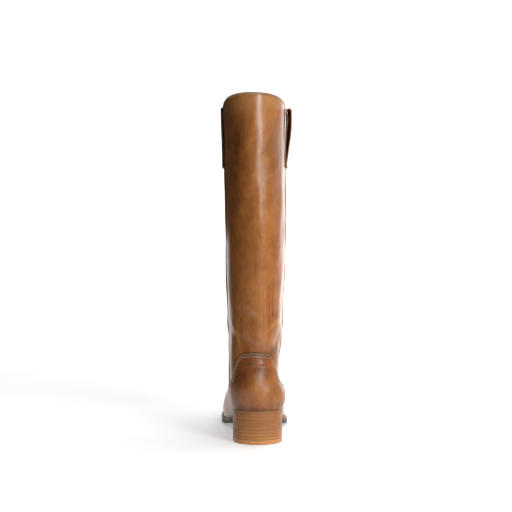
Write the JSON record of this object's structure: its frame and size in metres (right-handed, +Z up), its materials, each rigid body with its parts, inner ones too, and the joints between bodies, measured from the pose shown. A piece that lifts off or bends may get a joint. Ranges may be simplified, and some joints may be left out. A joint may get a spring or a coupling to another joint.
{
  "type": "knee-high boot",
  "caption": "Right knee-high pull-on boot: hollow leather shaft on a low stacked heel, with curved counter and vamp overlays and looped pull straps.",
  "frame": {"origin": "on the floor, under the middle of the heel", "axes": "+Z up, +Y towards the toe, +X towards the outer side of the right foot"},
  "size_m": [0.0955, 0.28, 0.44],
  "materials": {
    "upper_leather": "glossy burnished tan calf, mottled golden to dark brown",
    "strap_leather": "tan leather with dark painted edges",
    "insole_leather": "plain natural leather",
    "sole_leather": "waxed edge, natural underside",
    "stack_leather": "sanded and waxed layers",
    "half_sole_rubber": "matt dark rubber",
    "top_lift_rubber": "satin tan rubber"
  },
  "bodies": {
    "root": {"upper": "upper_leather", "counter": "upper_leather", "vamp": "upper_leather", "side_strip_outer": "upper_leather", "side_strip_inner": "upper_leather", "pull_strap_outer": "strap_leather", "pull_strap_inner": "strap_leather", "insole": "insole_leather", "outsole": "sole_leather", "welt": "sole_leather", "heel_rand": "sole_leather", "half_sole": "half_sole_rubber", "heel_lift_1": "stack_leather", "heel_lift_2": "stack_leather", "heel_lift_3": "stack_leather", "heel_lift_4": "stack_leather", "heel_lift_5": "stack_leather", "heel_lift_6": "stack_leather", "heel_lift_7": "stack_leather", "heel_lift_8": "stack_leather", "top_lift": "top_lift_rubber"}
  },
  "joints": []
}
